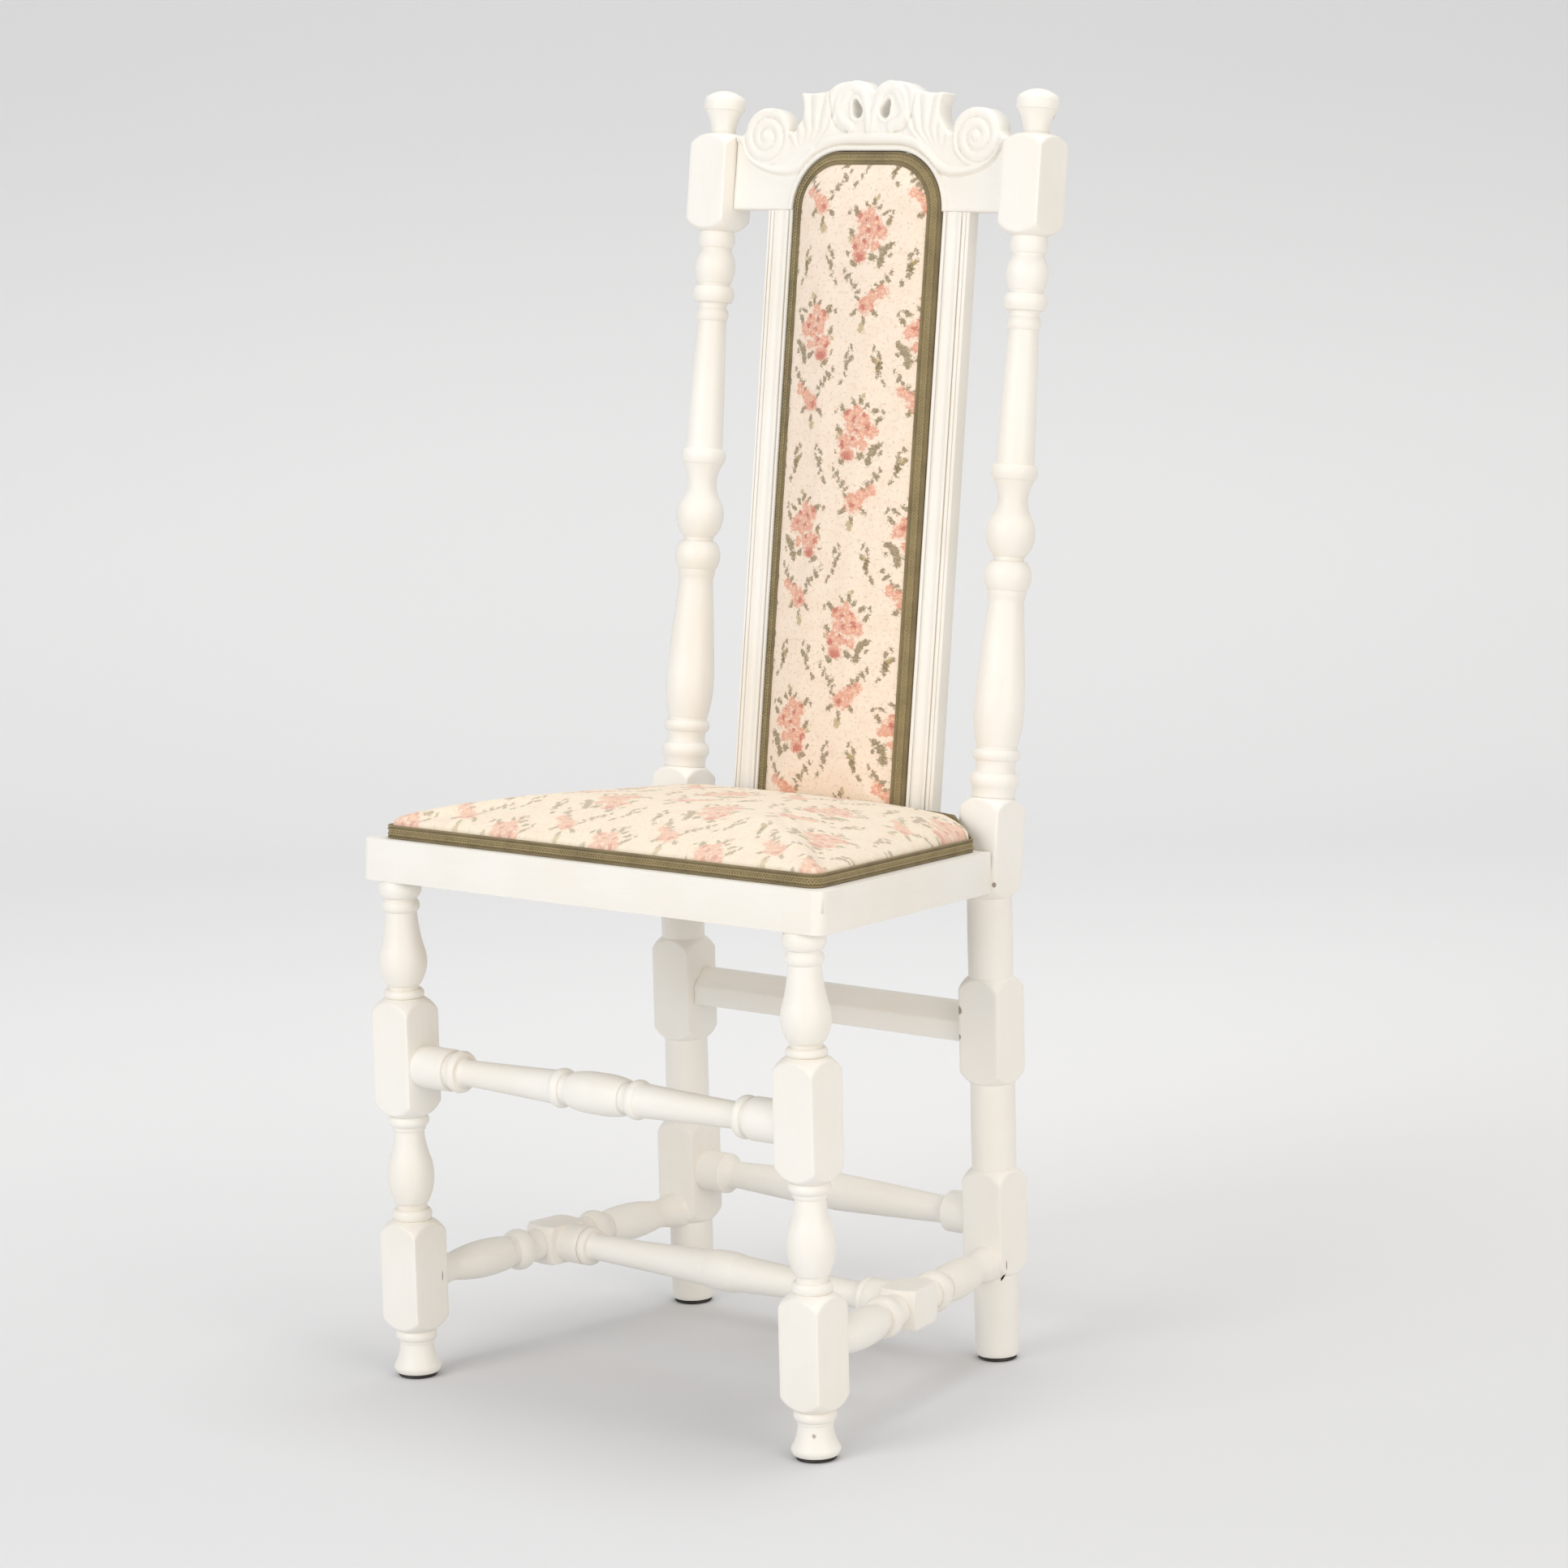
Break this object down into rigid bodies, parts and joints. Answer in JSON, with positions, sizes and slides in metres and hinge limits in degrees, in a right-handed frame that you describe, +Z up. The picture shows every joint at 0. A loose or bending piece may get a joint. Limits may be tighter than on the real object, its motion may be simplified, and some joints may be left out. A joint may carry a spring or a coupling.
{
  "type": "chair",
  "caption": "High-backed side chair with turned legs and posts, a carved and pierced crest rail, and a padded seat and back panel edged with braid.",
  "frame": {"origin": "on the floor, under the middle of the chair's outer box", "axes": "+X to the right hand of someone who faces the chair's front, -Y out of the front, +Z up"},
  "size_m": [0.5166, 0.4688, 1.1453],
  "materials": {
    "painted_wood": "aged off-white paint, satin",
    "bare_wood": "bare beech",
    "cover_cloth": "cream weave with small floral sprigs",
    "gimp": "olive braid",
    "base_cloth": "jute",
    "lining_cloth": "plain cotton",
    "glide": "matt black"
  },
  "bodies": {
    "root": {"front_leg_right": "painted_wood", "front_leg_left": "painted_wood", "rear_post_right": "painted_wood", "rear_post_left": "painted_wood", "front_seat_rail": "painted_wood", "side_seat_rail_right": "painted_wood", "side_seat_rail_left": "painted_wood", "rear_seat_rail": "painted_wood", "corner_block_right": "bare_wood", "corner_block_left": "bare_wood", "front_stretcher": "painted_wood", "side_stretcher_right": "painted_wood", "side_stretcher_left": "painted_wood", "cross_stretcher": "painted_wood", "back_lower_stretcher": "painted_wood", "back_upper_rail": "painted_wood", "crest_rail": "painted_wood", "panel_stile_right": "painted_wood", "panel_stile_left": "painted_wood", "back_canvas": "base_cloth", "back_pad": "cover_cloth", "back_gimp": "gimp", "back_lining": "lining_cloth", "seat_webbing": "base_cloth", "seat_hessian": "base_cloth", "seat_pad": "cover_cloth", "seat_gimp": "gimp", "front_foot_glides": "glide", "rear_foot_glides": "glide"}
  },
  "joints": []
}
